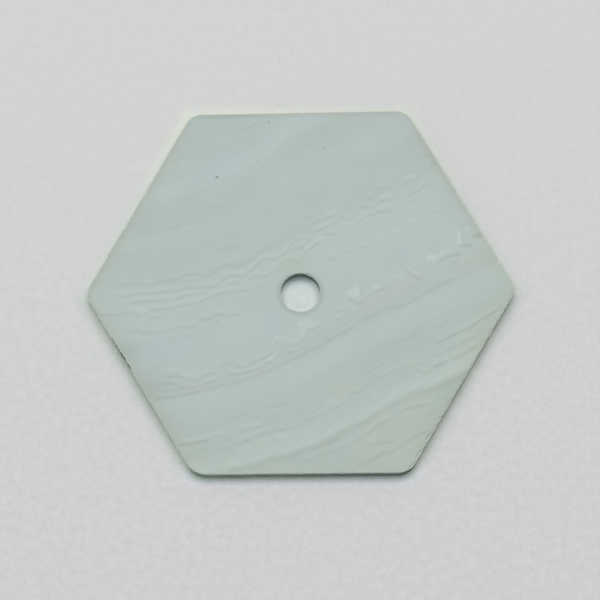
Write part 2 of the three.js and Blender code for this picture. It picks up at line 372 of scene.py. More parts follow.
    (SHADE, (-4.53, 2.43), (-4.05, 2.48), (-3.35, 2.56)),
    (HAIR, (-2.9, 9.05), (-2.62, 9.2), (-2.2, 9.45)),
    (SHEEN, (-9.73, 2.44), (-9.3, 2.5), (-8.8, 2.51)),
)
THREAD_FADE = 0.26  # mm over which a thread comes and goes at its ends
LIP_SPREAD = 1.3  # widths over which a lip fades
LOW_LIP = 0.45  # strength of the lip under a thread, beside the one above it
LIP_PLACE = 2.75  # widths from the middle of a thread to its bright lip
LIP_SHARE = 0.55  # share of its given strength at which a lip shows
LEVEL = 0.0155  # share of the stone's own colour that one level stands for

# ---------------- the stone's tints

NONE = (0.0, 0.0, 0.0)
FULL = (1.0, 1.0, 1.0)
FLAT = (1.0, 1.0, 0.0)  # leaves a place its X and Y
SIDE_DIRECTIONS = (30, 90, 150)  # of one side in each pair, in degrees from +X

# Noises: waves per mm, and how wide they stray on each axis, in mm, in levels or as a gain.
SHIVER = (3.4, (0.07, 0.07, 0.0))
FLECK_EDGE = (3.5, (0.36, 0.36, 0.0))
HUE_DRIFT = (1.7, (3.6, 0.0, 7.0))
PAPER_HUE_DRIFT = (1.1, (0.07, 0.0, 0.055))
LACE_WEAR_WAVES = 1.9
LACE_WEAR = (1.3, 0.35)  # what this noise adds to the lace's strength, and what is always there

CLOUD_FADE = (0.25, 1.35)  # where a cloud starts to fade and is gone, in half sizes
FLECK_FADE = (0.7, 1.15)

# Tints, each with its masks: what a mask goes by, in mm, where it starts and where it is full,
# and its strength at both if they aren't 0 and 1. A mask with no range is there already.
FACE_TINTS = (  # in levels
    # olive stone at the foot
    ((0.8, 1.0, -0.5), ("across", -5.0, -7.5)),
    # all round the rim
    ((0.0, -0.5, -3.5), ("rim",)),
    # along the margins, and weaker at the two level sides
    ((-1.9, -2.8, -4.9), ("margin",), ("off middle", 8.6, 9.6, 1.0, 0.2)),
    # the rim of the upper left
    ((-3.5, -7.0, -3.0), ("to lower right", 9.0, 4.0), ("rim",), ("y", -3.0, 1.0)),
    # painted shade round the near rim of the hole
    ((-13.0, -13.0, -11.0), ("y", 1.4, 0.3), ("hole rim",)),
)
RIM_REACH = 0.42
MARGIN_REACH = 1.4
LEVEL_TONE = (1.0, 1.0, 1.08)
WALL_PAINTED_SHADE = (  # as a gain
    # painted shade: the near wall at the foot and the wall of the hole, which face away from the key
    # light, are painted dark
    ((-0.70, -0.64, -0.67), ("y", -9.3, -9.85)),
    ((-0.81, -0.70, -0.78), ("hole rim",)),
)
# How far from the hole the painted shade of its wall reaches, in mm.
HOLE_WALL_SHADE_REACH = 1.0
# Painted light and shade: the walls are painted paler at the left, where the key light falls, and darker
# at the right.
WALL_PAINTED_SIDE_LIGHT = (-6.0, 6.0, 1.3, 0.85)  # how pale the walls are at the left and at the right
# Painted light and shade on the paper, round the plate and under the hole.
PAPER_PAINTED_LIGHT = (  # as a gain
    # under the hole: painted brighter, lit through the stone at its foot, tinted in its shade and darker
    # still beside the far wall
    ((0.13, 0.145, 0.15), ("radius", 1.25, 1.0)),
    ((0.12, 0.14, 0.17), ("radius", 0.5, 0.95), ("radius", 1.25, 1.0), ("y", 0.25, 0.8, 1.0, 0.0),
     ("x", 0.3, 0.9, 1.0, 0.3)),
    ((-0.14, -0.06, 0.02), ("y", 0.25, 0.8), ("radius", 1.25, 1.0)),
    ((-0.15, -0.15, -0.12), ("y", 0.7, 0.9), ("radius", 1.25, 1.0)),
    # warm light off the far walls, and a yellow line at their very foot
    ((0.085, 0.065, 0.035), ("hexagon", 10.8, 10.0), ("y", 4.0, 10.0), ("x", -4.0, 8.0, 1.4, 1.0)),
    ((-0.05, -0.04, -0.12), ("hexagon", 10.22, 10.05), ("y", 4.0, 10.0)),
    # green light that leaves the stone all round, and in the deep shade of the near wall
    ((-0.035, 0.025, -0.015), ("hexagon", 10.8, 10.0)),
    ((0.0, 0.06, 0.05), ("hexagon", 10.4, 10.0), ("y", -9.0, -10.0)),
    # a little way off: blue light from the near wall, and soft shade beside the slanting ones
    ((0.05, 0.04, 0.11), ("hexagon", 10.8, 10.35), ("hexagon", 10.05, 10.2), ("y", -9.0, -10.0)),
    ((-0.065, -0.055, -0.05), ("hexagon", 10.8, 10.35), ("hexagon", 10.05, 10.2),
     ("y", 1.0, -1.0), ("y", -9.0, -10.0, 1.0, 0.0)),
)

STONE_IOR = 1.54
# Grain of a surface: per mm, its reach in shade and in roughness, the roughness, its height.
RIM_GRAIN = (5.0, 0.3, 0.08, 0.6, 0.006 * MM)
WALL_GRAIN = (7.0, 0.45, 0.08, 0.62, 0.012 * MM)
CHIP_GRAIN = (14.0, 0.2, 0.1, 0.45, 0.006 * MM)
FACE_ROUGHNESS = (0.01, 0.4)  # for each level of the fibres, and without them
SAW_ROUGHNESS = (0.12, 0.46)
SAW_MARKS = (0.25, 5.0, 1.0)  # waves per mm along, across and down
SAW_DEPTH = 0.006 * MM
WALL_FIBRES = 3.0  # how much stronger than on the face the fibres show on the walls
UNDERSIDE_LACE = 0.7  # how much weaker the lace shows on the underside

WARM_RIM = (0.16, 0.10, -0.02)  # how much warmer the rim of the far side is
WARM_FROM = (8.8, 9.4)
COOL_RIM = (-0.06, -0.01, 0.12)  # how much cooler the rims of the near sides are
COOL_FROM = (1.0, -2.0)
COOL_ASIDE = (5.2, 6.2, 0.0, 0.55)
CHIP_RIM_REACH = 0.6
# Painted shade: chips and pits away from the rims, such as the open pits in the face, are painted darker.
CHIP_LIGHT = (0.22, 0.78)  # what the nearness of a rim adds to a chip's light, and the rest
SHADED_NOTCH_CHIPS = ((-9.4, -3.9, 0.7), (-9.8, -3.1, 0.7))  # where chips are painted dark for the shade in the broken notch of the lower left side, in mm
NOTCH_SHADE_REACH = (0.6, 1.0, 0.4, 1.0)

# ---------------- the stage's own sizes

PAPER_SIZE = 4.0
CAMERA_AIM = Vector((-0.029, -0.4255, 0.75)) * MM
SENSOR_WIDTH = 36.0
CLIP_START = 0.01
CLIP_END = 20.0
KEY_SIDE = 98  # the softbox's direction from the plate in degrees from +X
KEY_HEIGHT = math.radians(74.5)
KEY_DISTANCE = 0.25
KEY_WIDTH = 0.235
KEY_DEPTH = 0.142

MOTTLE_WAVES = 2.4
MOTTLE_RANGE = (14.0, -12.0, 0.13, 0.30)  # weaker at the far side than at the near one
MOTTLE_ROUGHNESS = 0.72
SPECK_WAVES = 2.3
SPECKS = (0.77, 0.81, 1.0, 0.88)  # peaks of the noise that are specks, and how dark they get
PAPER_ROUGHNESS = 0.9
PAPER_SPECULAR = 0.2
PAPER_TOOTH = 0.02 * MM
PAPER_TOOTH_STRENGTH = 0.5

# ---------------- settings for the sidebar


class AgatePlateSettings(bpy.types.PropertyGroup):
    """Sizes of the cut plate, taken from the solid that it dresses."""

    across_flats: FloatProperty(
        name="Across flats", description="Distance between two opposite sides of the hexagon",
        default=ACROSS_FLATS, unit="LENGTH", precision=5)
    thickness: FloatProperty(
        name="Thickness", description="Height of the plate between its lapped faces",
        default=THICKNESS, unit="LENGTH", precision=5)
    hole_diameter: FloatProperty(
        name="Hole diameter", description="Diameter of the hole drilled through the middle",
        default=2.1 * MM, unit="LENGTH", precision=5)
    edge_break: FloatProperty(
        name="Edge break", description="Width of the small slope ground on every rim",
        default=0.05 * MM, unit="LENGTH", precision=5)
    edge_break_steps: IntProperty(
        name="Edge break steps", description="Facets across the slope of each rim",
        default=2, min=1, max=4)


class AgateFinishSettings(bpy.types.PropertyGroup):
    """Colours and finishes of the stone."""

    stone_colour: FloatVectorProperty(
        name="Stone colour", description="Colour of the polished face between its bands",
        default=(0.422, 0.5105, 0.4785), subtype="COLOR", size=3)
    wall_colour: FloatVectorProperty(
        name="Wall colour",
        description="Colour of the ground walls, which light from the stone brightens",
        default=(0.52, 0.60, 0.54), subtype="COLOR", size=3)
    rim_colour: FloatVectorProperty(
        name="Rim colour", description="Colour of the frosted slope ground on the rims",
        default=(0.54, 0.61, 0.50), subtype="COLOR", size=3)
    chip_colour: FloatVectorProperty(
        name="Chip colour", description="Colour of the bare stone where a rim has chipped",
        default=(0.62, 0.68, 0.64), subtype="COLOR", size=3)
    lace_strength: FloatProperty(
        name="Lace strength", description="How strongly the fine threads show",
        default=0.95, subtype="FACTOR")
    relief_height: FloatProperty(
        name="Lace relief",
        description="Height that one level of the fibres stands for in the polished face",
        default=0.00012 * MM, unit="LENGTH", precision=7)


class AgateStageSettings(bpy.types.PropertyGroup):
    """Camera, light and paper."""

    camera_elevation: FloatProperty(
        name="Camera elevation", description="Angle of the view above the paper",
        default=math.radians(75.03), subtype="ANGLE")
    camera_roll: FloatProperty(
        name="Camera roll", description="Turn of the picture about the line of sight",
        default=math.radians(-0.72), subtype="ANGLE")
    camera_distance: FloatProperty(
        name="Camera distance", description="Distance from the camera to the plate",
        default=1.0, unit="LENGTH")
    field_width: FloatProperty(
        name="Field width", description="Width of the paper that the picture takes in",
        default=32.11 * MM, unit="LENGTH", precision=5)
    paper_colour: FloatVectorProperty(
        name="Paper colour", description="Colour of the paper that the plate lies on",
        default=(0.749, 0.751, 0.751), subtype="COLOR", size=3)
    key_power: FloatProperty(
        name="Key light power", description="Power of the large softbox behind the plate",
        default=0.345, unit="POWER")
    room_strength: FloatProperty(
        name="Room light", description="Strength of the even light from the room",
        default=0.40)


# ---------------- small helpers: modelling


def only_selected(piece):
    """Deselect everything, then select one piece and make it the active one."""
    bpy.ops.object.select_all(action="DESELECT")
    piece.select_set(True)
    bpy.context.view_layer.objects.active = piece


def named(name):
    """The object that was just added, with its name."""
    piece = bpy.context.active_object
    piece.name = name
    return piece


def open_mesh(piece):
    """Open one piece in edit mode."""
    only_selected(piece)
    bpy.ops.object.mode_set(mode="EDIT")


def close_mesh():
    """Leave edit mode."""
    bpy.ops.object.mode_set(mode="OBJECT")


def take(kind, action):
    """In edit mode, select all or none of the vertices, edges or faces."""
    bpy.ops.mesh.select_mode(type=kind)
    bpy.ops.mesh.select_all(action=action)


def pick(piece, kind, wanted):
    """In edit mode, select only the vertices, edges or faces that pass the test."""
    take(kind, "DESELECT")
    mesh = bmesh.from_edit_mesh(piece.data)
    for part in {"VERT": mesh.verts, "EDGE": mesh.edges, "FACE": mesh.faces}[kind]:
        if wanted(part):
            part.select = True
    mesh.select_flush_mode()
    bmesh.update_edit_mesh(piece.data)


def weld(closest):
    """In edit mode, merge the vertices that all but touch and point every face outwards."""
    bpy.ops.mesh.select_all(action="SELECT")
    bpy.ops.mesh.remove_doubles(threshold=closest)
    bpy.ops.mesh.normals_make_consistent(inside=False)


def apply_modifier(piece, kind, **values):
    """Add one modifier with these values and apply it."""
    only_selected(piece)
    modifier = piece.modifiers.new(kind.lower(), kind)
    for name, value in values.items():
        setattr(modifier, name, value)
    bpy.ops.object.modifier_apply(modifier=modifier.name)


def direction(degrees):
    """Unit vector in the plane of the plate, at this angle from +X."""
    turn = math.radians(degrees)
    return Vector((math.cos(turn), math.sin(turn), 0.0))


# ---------------- small helpers: nodes


class Value:
    """A number, vector or colour in a node tree. Sums written with it become math nodes."""

    def __init__(self, socket):
        self.socket = socket
        self.tree = socket.id_data

    def __add__(self, other):
        return reckon("ADD", self, other)

    def __sub__(self, other):
        return reckon("SUBTRACT", self, other)

    def __rsub__(self, other):
        return reckon("SUBTRACT", other, self)

    def __mul__(self, other):
        if is_vector(self) == is_vector(other):
            return reckon("MULTIPLY", self, other)
        if is_vector(self):
            return scaled(self, other)
        return scaled(other, self)

    def __truediv__(self, other):
        return reckon("DIVIDE", self, other)

    def __rpow__(self, other):
        return reckon("POWER", other, self)

    def __abs__(self):
        return reckon("ABSOLUTE", self)


def is_vector(source):
    """Whether a value in a tree, or a plain one, is a vector or a colour."""
    if isinstance(source, Value):
        return source.socket.type != "VALUE"
    return not isinstance(source, (int, float))


def add_node(tree, kind, **values):
    """Add a node and set the values of its own fields."""
    node = tree.nodes.new(kind)
    for name, value in values.items():
        setattr(node, name, value)
    return node


def feed(socket, source):
    """Join a socket to a value in its tree, or give it a plain one."""
    if isinstance(source, Value):
        source.tree.links.new(source.socket, socket)
    else:
        socket.default_value = source


def reckon(operation, *sources):
    """One math node or vector math node, fed in order; gives its value."""
    tree = next(source.tree for source in sources if isinstance(source, Value))
    kind = "ShaderNodeVectorMath" if any(map(is_vector, sources)) else "ShaderNodeMath"
    node = add_node(tree, kind, operation=operation)
    for socket, source in zip(node.inputs, sources):
        feed(socket, source)
    gives_number = operation in ("LENGTH", "DOT_PRODUCT") or kind == "ShaderNodeMath"
    return Value(node.outputs["Value" if gives_number else "Vector"])


def scaled(vector, factor):
    """A vector times a number, one of them or both in a tree."""
    tree = (vector if isinstance(vector, Value) else factor).tree
    node = add_node(tree, "ShaderNodeVectorMath", operation="SCALE")
    feed(node.inputs["Vector"], vector)
    feed(node.inputs["Scale"], factor)
    return Value(node.outputs["Vector"])


def scaled_sum(value, factor, addend):
    """A value times a factor plus an addend, in one node."""
    return reckon("MULTIPLY_ADD", value, factor, addend)


def axes(vector):
    """The X, Y and Z of a vector."""
    node = add_node(vector.tree, "ShaderNodeSeparateXYZ")
    feed(node.inputs["Vector"], vector)
    return [Value(socket) for socket in node.outputs]


def smooth_step(value, start, end, low=0.0, high=1.0):
    """A value that eases from low at start to high at end, and holds beyond them."""
    node = add_node(
        value.tree, "ShaderNodeMapRange", interpolation_type="SMOOTHSTEP", clamp=False)
    for name, source in (
        ("Value", value), ("From Min", start), ("From Max", end),
        ("To Min", low), ("To Max", high),
    ):
        feed(node.inputs[name], source)
    return Value(node.outputs["Result"])


def noise(place, scale, detail=2.0, roughness=0.5, output="Fac"):
    """A noise texture at this scale; gives its factor or its colour."""
    node = add_node(place.tree, "ShaderNodeTexNoise")
    feed(node.inputs["Vector"], place)
    node.inputs["Scale"].default_value = scale
    node.inputs["Detail"].default_value = detail
    node.inputs["Roughness"].default_value = roughness
    return Value(node.outputs[output])


def around_zero(factor, reach):
    """A 0 to 1 factor turned into a value from -reach to +reach."""
    return scaled_sum(factor, 2.0 * reach, -reach)


def drift(place, scale, width, detail=2.0):
    """A random vector around zero, as wide as this on each axis."""
    return (noise(place, scale, detail, output="Color") - (0.5, 0.5, 0.5)) * width


def place_in_mm(tree):
    """The piece's own coordinates, in mm."""
    coordinates = add_node(tree, "ShaderNodeTexCoord")
    return Value(coordinates.outputs["Object"]) * (1.0 / MM)


def curve_through(points, value):
    """A Float Curve in millimetres or levels through given points."""
    node = add_node(value.tree, "ShaderNodeFloatCurve")
    mapping = node.mapping
    mapping.use_clip = False
    curve = mapping.curves[0]
    curve.points[0].location = points[0]
    curve.points[-1].location = points[-1]
    for point in points[1:-1]:
        curve.points.new(*point)
    for point in curve.points:
        point.handle_type = "AUTO"
    mapping.extend = "HORIZONTAL"
    mapping.update()
    feed(node.inputs["Value"], value)
    return Value(node.outputs["Value"])


def start_group(name, **inputs):
    """A new node group with an input for each name and default: (tree, its inputs)."""
    tree = bpy.data.node_groups.new(name, "ShaderNodeTree")
    for title, default in inputs.items():
        kind = "Float"
        if is_vector(default):
            kind = "Vector" if len(default) == 3 else "Color"
        socket = tree.interface.new_socket(
            title.replace("_", " "), in_out="INPUT", socket_type="NodeSocket" + kind)
        socket.default_value = default
    entry = add_node(tree, "NodeGroupInput")
    return tree, {socket.name: Value(socket) for socket in entry.outputs if socket.name}


def end_group(tree, **results):
    """Close a group, with an output for each named result."""
    for title, result in results.items():
        kind = "Vector" if is_vector(result) else "Float"
        if title == "Colour":
            kind = "Color"
        tree.interface.new_socket(title, in_out="OUTPUT", socket_type="NodeSocket" + kind)
    leaving = add_node(tree, "NodeGroupOutput")
    for title, result in results.items():
        feed(leaving.inputs[title], result)
    return tree


def use_group(tree, group, **values):
    """Place a group in a tree with its own values; gives its outputs by name."""
    node = add_node(tree, "ShaderNodeGroup", node_tree=group)
    for title, source in values.items():
        feed(node.inputs[title.replace("_", " ")], source)
    return {socket.name: Value(socket) for socket in node.outputs}


# ---------------- shared effects


def stone_place_group():
    """Where a point lies in the pattern, in mm: X, Y with the bands' dip, and the flow."""
    tree, _inputs = start_group("stone_place")
    place = place_in_mm(tree)
    x, y, height = axes(place)
    dipped = scaled_sum(THICKNESS / MM - height, BAND_DIP, y)
    shift = drift(place, *SHIVER, detail=1.0)
    shift_x, shift_y, _ = axes(shift)
    flow = Value(add_node(tree, "ShaderNodeUVMap", uv_map="BandFlow").outputs["UV"])
    return end_group(tree, X=x + shift_x, Y=dipped + shift_y, Place=place, Flow=flow + shift)


def lace_thread_group():
    """One thread of the lace added to the total: a dark line between bright lips."""
    tree, given = start_group(
        "lace_thread", Before=0.0, X=0.0, Y=0.0, Thread_Y=0.0, Middle=0.0, Half_Length=1.0,
        Width=0.1, Darkness=1.0, Lip=0.0)
    half_length = given["Half Length"]
    along = abs(given["X"] - given["Middle"])
    present = smooth_step(along, half_length - THREAD_FADE, half_length, 1.0, 0.0)
    across = (given["Y"] - given["Thread Y"]) / given["Width"]
    dark = math.exp(-1.0) ** (across * across) * given["Darkness"]
    to_lip = abs(across) - LIP_PLACE
    lip = math.exp(-1.0 / LIP_SPREAD ** 2) ** (to_lip * to_lip)
    share = scaled_sum(reckon("SIGN", across), (1.0 - LOW_LIP) / 2.0, (1.0 + LOW_LIP) / 2.0)
    line = lip * share * given["Lip"] - dark
    return end_group(tree, After=scaled_sum(line, present, given["Before"]))


def cloud_group():
    """One soft cloud added to the tone: an ellipse that fades to its edge."""
    tree, given = start_group(
        "soft_cloud", Before=NONE, Place=NONE, Centre=NONE, Turn=NONE, Half_Size=NONE,
        Tone=NONE, Core=0.25, Edge=1.35)
    mapping = add_node(tree, "ShaderNodeMapping", vector_type="TEXTURE")
    for title, source in (
        ("Vector", "Place"), ("Location", "Centre"), ("Rotation", "Turn"), ("Scale", "Half Size"),
    ):
        feed(mapping.inputs[title], given[source])
    far = reckon("LENGTH", Value(mapping.outputs["Vector"]))
    mask = smooth_step(far, given["Core"], given["Edge"], 1.0, 0.0)
    return end_group(tree, After=given["Before"] + given["Tone"] * mask)


def fibre_group():
    """Fine parallel fibres and blotches along the flow, in levels."""
    tree, given = start_group("stone_fibre", Flow=NONE, Strength=1.0)
    total = 0.0
    for waves_across, waves_along, reach in FIBRES:
        stretched = given["Flow"] * (waves_along, waves_across, 1.0)
        total = around_zero(noise(stretched, 1.0, detail=1.0), reach) + total
    _, across, _ = axes(given["Flow"])
    amount = curve_through(FIBRE_AMOUNT, across) * given["Strength"]
    return end_group(tree, Level=total * amount)


def rim_group():
    """How near a point is to the outline or the hole: 1 at the rim, 0 inside."""
    tree, given = start_group("rim_nearness", Place=NONE, Reach=0.5)
    furthest = 0.0
    for degrees in SIDE_DIRECTIONS:
        distance = abs(reckon("DOT_PRODUCT", given["Place"], direction(degrees)))
        furthest = reckon("MAXIMUM", distance, furthest)
    to_side = 0.5 * ACROSS_FLATS / MM - furthest
    hole_radius = 0.5 * bpy.context.scene.agate_plate.hole_diameter / MM
    to_hole = reckon("LENGTH", given["Place"] * FLAT) - hole_radius
    return end_group(
        tree, Outline=smooth_step(to_side, 0.0, given["Reach"], 1.0, 0.0),
        Hole=smooth_step(to_hole, 0.0, given["Reach"], 1.0, 0.0))


def lace_total(thread_group, x, y):
    """All the threads of the lace, one after another, in levels."""
    total = 0.0
    for (width, darkness, lip), *points in THREADS:
        start, end = points[0][0], points[-1][0]
        total = use_group(
            x.tree, thread_group, Before=total, X=x, Y=y, Thread_Y=curve_through(points, x),
            Middle=0.5 * (start + end), Half_Length=0.5 * (end - start) + 0.5 * THREAD_FADE,
            Width=width, Darkness=darkness, Lip=LIP_SHARE * lip)["After"]
    return total


def cloud_total(soft_cloud, clouds, before, place, core, edge):
    """A table of clouds or flecks, one after another, in levels of each colour."""
    total = before
    for centre, half_size, slope, tone in clouds:
        total = use_group(
            place.tree, soft_cloud, Before=total, Place=place, Centre=(*centre, 0.0),
            Turn=(0.0, 0.0, math.radians(slope)), Half_Size=(*half_size, 1.0), Tone=tone,
            Core=core, Edge=edge)["After"]
    return total


def add_tints(total, tints, measures):
    """A colour with a table of tints added, each as strongly as its masks let it."""
    for tint, *masks in tints:
        for name, *limits in masks:
            mask = measures[name]
            if limits:
                mask = smooth_step(mask, *limits)
            tint = mask * tint
        total = tint + total
    return total


def rim_masks(shared, tree, place):
    """Masks of the rim, the wider margin inside it, and the hole's rim."""
    rim = use_group(tree, shared["rim_nearness"], Place=place, Reach=RIM_REACH)
    margin = use_group(tree, shared["rim_nearness"], Place=place, Reach=MARGIN_REACH)
    return {"rim": rim["Outline"], "margin": margin["Outline"], "hole rim": rim["Hole"]}


def agate_pattern_group(shared):
    """The whole banding: the stone's colour with its bands, and the lace alone in levels."""
    tree, given = start_group(
        "agate_pattern", Stone_Colour=(*FULL, 1.0), Lace_Strength=1.0, Fibre_Strength=1.0)
    stone = use_group(tree, shared["stone_place"])
    x, y, place, flow = (stone[title] for title in ("X", "Y", "Place", "Flow"))
    _, across, _ = axes(flow)
    fibre = use_group(
        tree, shared["stone_fibre"], Flow=flow, Strength=given["Fibre Strength"])["Level"]
    wear = scaled_sum(noise(place, LACE_WEAR_WAVES, detail=1.0), *LACE_WEAR)
    lace = lace_total(shared["lace_thread"], x, y) * wear * given["Lace Strength"]
    level = curve_through(BROAD_BANDS, across) + fibre + lace
    flat_place = place * FLAT
    ragged_place = flat_place + drift(flat_place, *FLECK_EDGE)
    soft_cloud = shared["soft_cloud"]
    tone = cloud_total(soft_cloud, CLOUDS, NONE, flat_place, *CLOUD_FADE)
    tone = cloud_total(soft_cloud, FLECKS, tone, ragged_place, *FLECK_FADE)
    tone = tone + drift(flat_place, *HUE_DRIFT)
    measures = {"y": y, "off middle": abs(y), "across": across, "to lower right": x - y}
    # The face tints include painted shade round the near rim of the hole.
    tone = add_tints(tone, FACE_TINTS, measures | rim_masks(shared, tree, place))
    tone = tone + level * LEVEL_TONE
    gain = scaled_sum(tone, (LEVEL,) * 3, FULL)
    return end_group(tree, Colour=given["Stone Colour"] * gain, Lace=lace, Fibre=fibre)


def ground_grain_group():
    """Grain of a ground, unpolished surface: value around zero, in a given size."""
    tree, given = start_group("ground_grain", Place=NONE, Grains_Per_MM=12.0)
    grown = given["Place"] * given["Grains Per MM"]
    return end_group(tree, Grain=around_zero(noise(grown, 1.0, detail=3.0, roughness=0.6), 1.0))


def shared_effects():
    """Every shared node group, built once."""
    shared = {
        "stone_place": stone_place_group(),
        "lace_thread": lace_thread_group(),
        "soft_cloud": cloud_group(),
        "stone_fibre": fibre_group(),
        "rim_nearness": rim_group(),
        "ground_grain": ground_grain_group(),
    }
    shared["agate_pattern"] = agate_pattern_group(shared)
    return shared


# ---------------- materials


def new_material(name):
    """An empty node material: (material, its tree, its Principled shader)."""
    material = bpy.data.materials.new(name)
    material.use_nodes = True
    tree = material.node_tree
    tree.nodes.clear()
    shader = add_node(tree, "ShaderNodeBsdfPrincipled")
    output = add_node(tree, "ShaderNodeOutputMaterial")
    tree.links.new(shader.outputs["BSDF"], output.inputs["Surface"])
    return material, tree, shader


def bump(shader, height, distance, strength=1.0):
    """Feed a height times distance, in metres, into the shader's normal."""
    node = add_node(height.tree, "ShaderNodeBump")
    node.inputs["Strength"].default_value = strength
    node.inputs["Distance"].default_value = distance
    feed(node.inputs["Height"], height)
    feed(shader.inputs["Normal"], Value(node.outputs["Normal"]))


def banding(shared, tree, colour, lace, fibres):
    """The agate's pattern in this colour, with its lace and fibres this strong."""
    return use_group(
        tree, shared["agate_pattern"], Stone_Colour=(*colour, 1.0), Lace_Strength=lace,
        Fibre_Strength=fibres)


def stone_grain(shared, tree, place, grains_per_mm, shade_reach, rough_reach, roughness, height):
    """Grain of a ground or broken surface: its shade, then its roughness, relief and height."""
    grain = use_group(
        tree, shared["ground_grain"], Place=place, Grains_Per_MM=grains_per_mm)["Grain"]
    shade = scaled_sum(grain, shade_reach, 1.0)
    return shade, scaled_sum(grain, rough_reach, roughness), grain, height


def polished_face(shared, tree, stone, finish):
    """The polished upper face, with its bands, lace and slight polishing relief."""
    pattern = banding(shared, tree, finish.stone_colour, finish.lace_strength, 1.0)
    roughness = scaled_sum(pattern["Fibre"], *FACE_ROUGHNESS)
    relief = use_group(tree, shared["stone_fibre"], Flow=stone["Flow"], Strength=1.0)
    return pattern["Colour"], roughness, relief["Level"], finish.relief_height


def frosted_rim(shared, tree, stone, finish):
    """The narrow slope on every rim: frosted by its grinding, so paler than the face."""
    shade, *surface = stone_grain(shared, tree, stone["Place"], *RIM_GRAIN)
    x, y, _ = axes(stone["Place"])
    cool = reckon("MAXIMUM", smooth_step(y, *COOL_FROM), smooth_step(abs(x), *COOL_ASIDE))
    colour = shade * tuple(finish.rim_colour)
    for tint, mask in ((COOL_RIM, cool), (WARM_RIM, smooth_step(y, *WARM_FROM))):
        colour = colour * (mask * tint + FULL)
    return colour, *surface


def ground_wall(shared, tree, stone, finish):
    """The ground walls: pale at the slanting sides, painted paler still at the left and darker at the
    right as the key light falls, and painted dark green for the shade in the hole and at the near foot.
    """
    place = stone["Place"]
    pattern = banding(shared, tree, finish.wall_colour, finish.lace_strength, WALL_FIBRES)
    x, y, _ = axes(place)
    # Painted shade: the walls are darkened at the near foot and in the hole.
    rim = use_group(tree, shared["rim_nearness"], Place=place, Reach=HOLE_WALL_SHADE_REACH)
    left = add_tints(FULL, WALL_PAINTED_SHADE, {"y": y, "hole rim": rim["Hole"]})
    shade, *surface = stone_grain(shared, tree, place, *WALL_GRAIN)
    # Painted light and shade: the walls are paler at the left and darker at the right.
    colour = pattern["Colour"] * left * (shade * smooth_step(x, *WALL_PAINTED_SIDE_LIGHT))
    return colour, *surface


def lapped_underside(shared, tree, stone, finish):
    """The lapped underside: the same bands, duller, with faint straight saw marks."""
    lace = UNDERSIDE_LACE * finish.lace_strength
    pattern = banding(shared, tree, finish.stone_colour, lace, 1.0)
    marks = noise(stone["Place"] * SAW_MARKS, 1.0, detail=3.0)
    return pattern["Colour"], scaled_sum(marks, *SAW_ROUGHNESS), marks, SAW_DEPTH


def chipped_stone(shared, tree, stone, finish):
    """Bare stone where a rim has chipped or a pit is open: pale and a little waxy, with painted shade in
    the pits and in the notch of the lower left side.
    """
    place = stone["Place"]
    shade, *surface = stone_grain(shared, tree, place, *CHIP_GRAIN)
    # Painted shade: a chip or pit away from the rims is painted darker.
    rim = use_group(tree, shared["rim_nearness"], Place=place, Reach=CHIP_RIM_REACH)
    at_rim = reckon("MAXIMUM", rim["Outline"], rim["Hole"])
    shade = shade * scaled_sum(at_rim, *CHIP_LIGHT)
    # Painted shade in the broken notch of the lower left side.
    for spot in SHADED_NOTCH_CHIPS:
        shade = shade * smooth_step(reckon("LENGTH", place - spot), *NOTCH_SHADE_REACH)
    return shade * tuple(finish.chip_colour), *surface


SURFACES = (polished_face, frosted_rim, ground_wall, lapped_underside, chipped_stone)


def stone_material(surface, shared, finish):
    """A material of the stone, with the colour, roughness and relief of one surface."""
    material, tree, shader = new_material("agate_" + surface.__name__)
    stone = use_group(tree, shared["stone_place"])
    colour, roughness, relief, height = surface(shared, tree, stone, finish)
    feed(shader.inputs["Base Color"], colour)
    feed(shader.inputs["Roughness"], roughness)
    shader.inputs["IOR"].default_value = STONE_IOR
    bump(shader, relief, height)
    return material


def paper_measures(place):
    """What the paper's masks go by: x, y, how far out, and the hexagon that a place lies on."""
    x, y, _ = axes(place)
    half_turn = math.pi / SIDES
    slanting = scaled_sum(abs(y), math.sin(half_turn), abs(x) * math.cos(half_turn))
    hexagon = reckon("MAXIMUM", slanting, abs(y))
    return {"x": x, "y": y, "radius": reckon("LENGTH", place), "hexagon": hexagon}


def paper_material(stage):
    """Pale matt paper with faint mottling, tiny specks, and painted light and shade round the plate and
    under the hole.
    """
    material, tree, shader = new_material("pale_paper")
    place = place_in_mm(tree)
    measures = paper_measures(place)
    mottle = noise(place, MOTTLE_WAVES, detail=5.0, roughness=MOTTLE_ROUGHNESS)
    shade = scaled_sum(mottle - 0.5, smooth_step(measures["y"], *MOTTLE_RANGE), 1.0)
    shade = shade * smooth_step(noise(place, SPECK_WAVES, detail=1.0), *SPECKS)
    gain = add_tints(drift(place, *PAPER_HUE_DRIFT) + FULL, PAPER_PAINTED_LIGHT, measures)
    feed(shader.inputs["Base Color"], shade * tuple(stage.paper_colour) * gain)
    shader.inputs["Roughness"].default_value = PAPER_ROUGHNESS
    shader.inputs["Specular IOR Level"].default_value = PAPER_SPECULAR
    bump(shader, mottle, PAPER_TOOTH, PAPER_TOOTH_STRENGTH)
    return material


# ---------------- the plate


